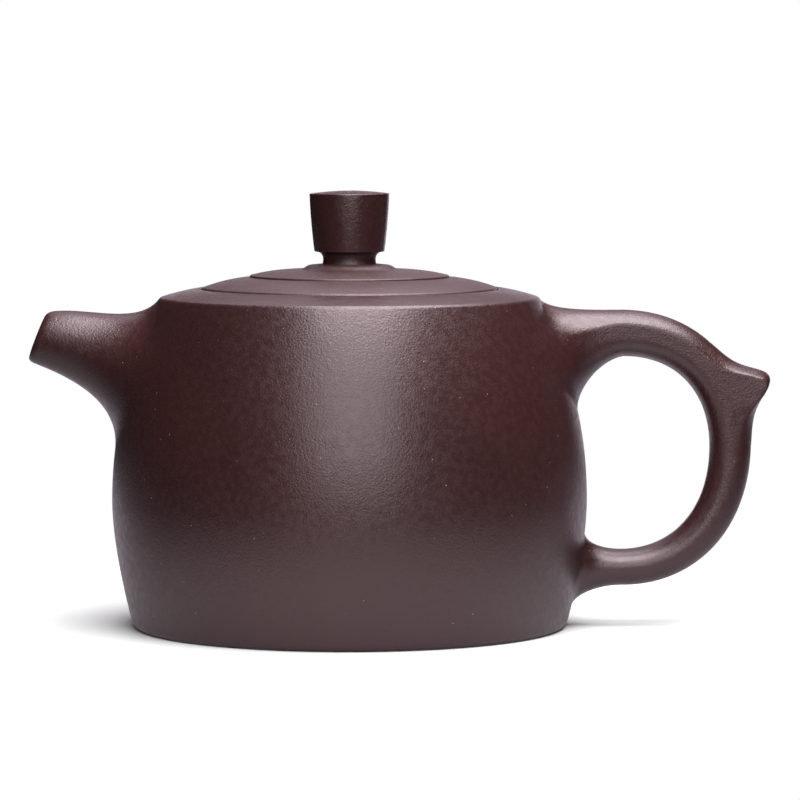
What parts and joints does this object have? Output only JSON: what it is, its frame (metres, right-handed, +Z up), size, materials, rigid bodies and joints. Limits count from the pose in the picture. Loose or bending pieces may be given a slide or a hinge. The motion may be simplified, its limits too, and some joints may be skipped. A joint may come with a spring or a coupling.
{
  "type": "teapot",
  "caption": "Round unglazed clay teapot with a short flared spout, a strainer behind it, a looped handle with a spur, and a loose stepped lid that is lifted off by its knob",
  "frame": {"origin": "centre of the base on the table, on the axis of the pot", "axes": "+X towards the handle, -X towards the spout, +Z up"},
  "size_m": [0.1411, 0.09, 0.0828],
  "materials": {
    "clay": "unglazed purple-brown clay, satin, fine grain"
  },
  "bodies": {
    "pot": {"base_disc": "clay", "body_wall": "clay", "shoulder_disc": "clay", "mouth_ring": "clay", "spout": "clay", "strainer": "clay", "handle": "clay", "handle_spur": "clay"},
    "lid_ring": {"lid_flange": "clay"},
    "lid": {"lid_plate": "clay", "lid_crown": "clay", "knob_collar": "clay", "knob": "clay"}
  },
  "joints": [
    {"name": "lid_lift", "type": "slide", "parent": "pot", "child": "lid_ring", "axis": [0, 0, 1], "range_m": [0, 0.06]},
    {"name": "lid_turn", "type": "hinge", "parent": "lid_ring", "child": "lid", "pos_m": [0, 0, 0.0622], "axis": [0, 0, 1], "continuous": true}
  ]
}
